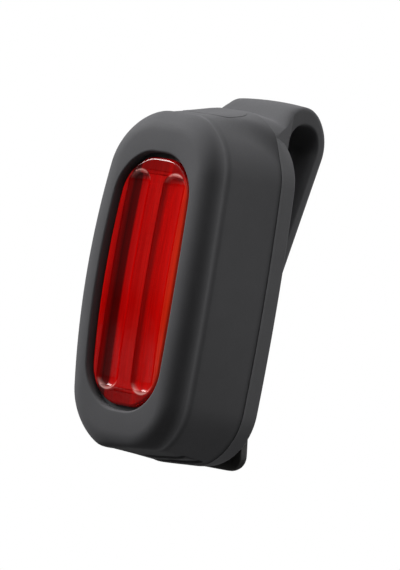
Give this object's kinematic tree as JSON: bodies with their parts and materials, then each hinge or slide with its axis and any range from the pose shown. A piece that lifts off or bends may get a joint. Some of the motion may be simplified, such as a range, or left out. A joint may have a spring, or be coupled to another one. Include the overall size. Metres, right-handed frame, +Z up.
{
  "type": "bicycle rear light",
  "caption": "Clip-on rear bicycle light: rubber sleeve with a spring clip and loop around a sealed module with a fluted red lens, charging port flap and top button.",
  "frame": {"origin": "middle of the body's back face, where the strap that it clips to lies", "axes": "+Z up along the body towards the clip's loop, -Y out of the lit front, +X to the right seen from the front"},
  "size_m": [0.0276, 0.0368, 0.0659],
  "materials": {
    "silicone": "matte silicone rubber",
    "toe_black": "satin moulded nylon",
    "spring_steel": "rolled spring strip",
    "lens_red": "clear red moulded polycarbonate",
    "seal_rubber": "soft moulded seal",
    "case_black": "moulded ABS",
    "reflector_white": "white moulded polycarbonate",
    "board_aluminium": "white-coated aluminium core",
    "phosphor": "silicone phosphor coat",
    "screw_steel": "zinc plated",
    "board_green": "solder mask",
    "chip_black": "moulded package",
    "led_clear": "clear epoxy",
    "shell_steel": "nickel plated shell",
    "switch_body": "moulded switch body",
    "switch_cream": "moulded plunger",
    "stem_grey": "moulded acetal",
    "cell_wrap": "laminated pouch",
    "foam": "adhesive foam",
    "lead_red": "insulated wire",
    "lead_black": "insulated wire",
    "lead_white": "insulated wire"
  },
  "bodies": {
    "holder": {"rubber_sleeve": "silicone", "clip_spring": "spring_steel", "lens": "lens_red", "lens_gasket": "seal_rubber", "case_front": "case_black", "case_back": "case_black", "case_gasket": "seal_rubber", "case_screws": "screw_steel", "reflector": "reflector_white", "cob_board": "board_aluminium", "cob_strip": "phosphor", "cob_screws": "screw_steel", "main_board": "board_green", "board_screws": "screw_steel", "controller_chip": "chip_black", "charger_chip": "chip_black", "charge_led": "led_clear", "usb_socket": "shell_steel", "tact_switch": "switch_body", "stem_seal": "seal_rubber", "battery": "cell_wrap", "battery_pad": "foam", "battery_lead_red": "lead_red", "battery_lead_black": "lead_black", "led_leads": "lead_white"},
    "clip": {"clip_arm": "silicone", "clip_toe": "toe_black"},
    "button": {"power_button": "silicone", "button_stem": "stem_grey", "switch_stem": "switch_cream"},
    "flap": {"port_flap": "silicone"}
  },
  "joints": [
    {"name": "clip_hinge", "type": "hinge", "parent": "holder", "child": "clip", "pos_m": [0, 0.00585, 0.0353], "axis": [1, 0, 0], "range_deg": [0, 15], "stiffness_Nm_per_rad": 1.8, "deforming": ["clip_spring"]},
    {"name": "button_press", "type": "slide", "parent": "holder", "child": "button", "axis": [0, 0, -1], "range_m": [0, 0.0005], "stiffness_N_per_m": 800},
    {"name": "flap_hinge", "type": "hinge", "parent": "holder", "child": "flap", "pos_m": [-0.0058, -0.00893, -0.03002], "axis": [0, 1, 0], "range_deg": [0, 95], "stiffness_Nm_per_rad": 0.002}
  ]
}
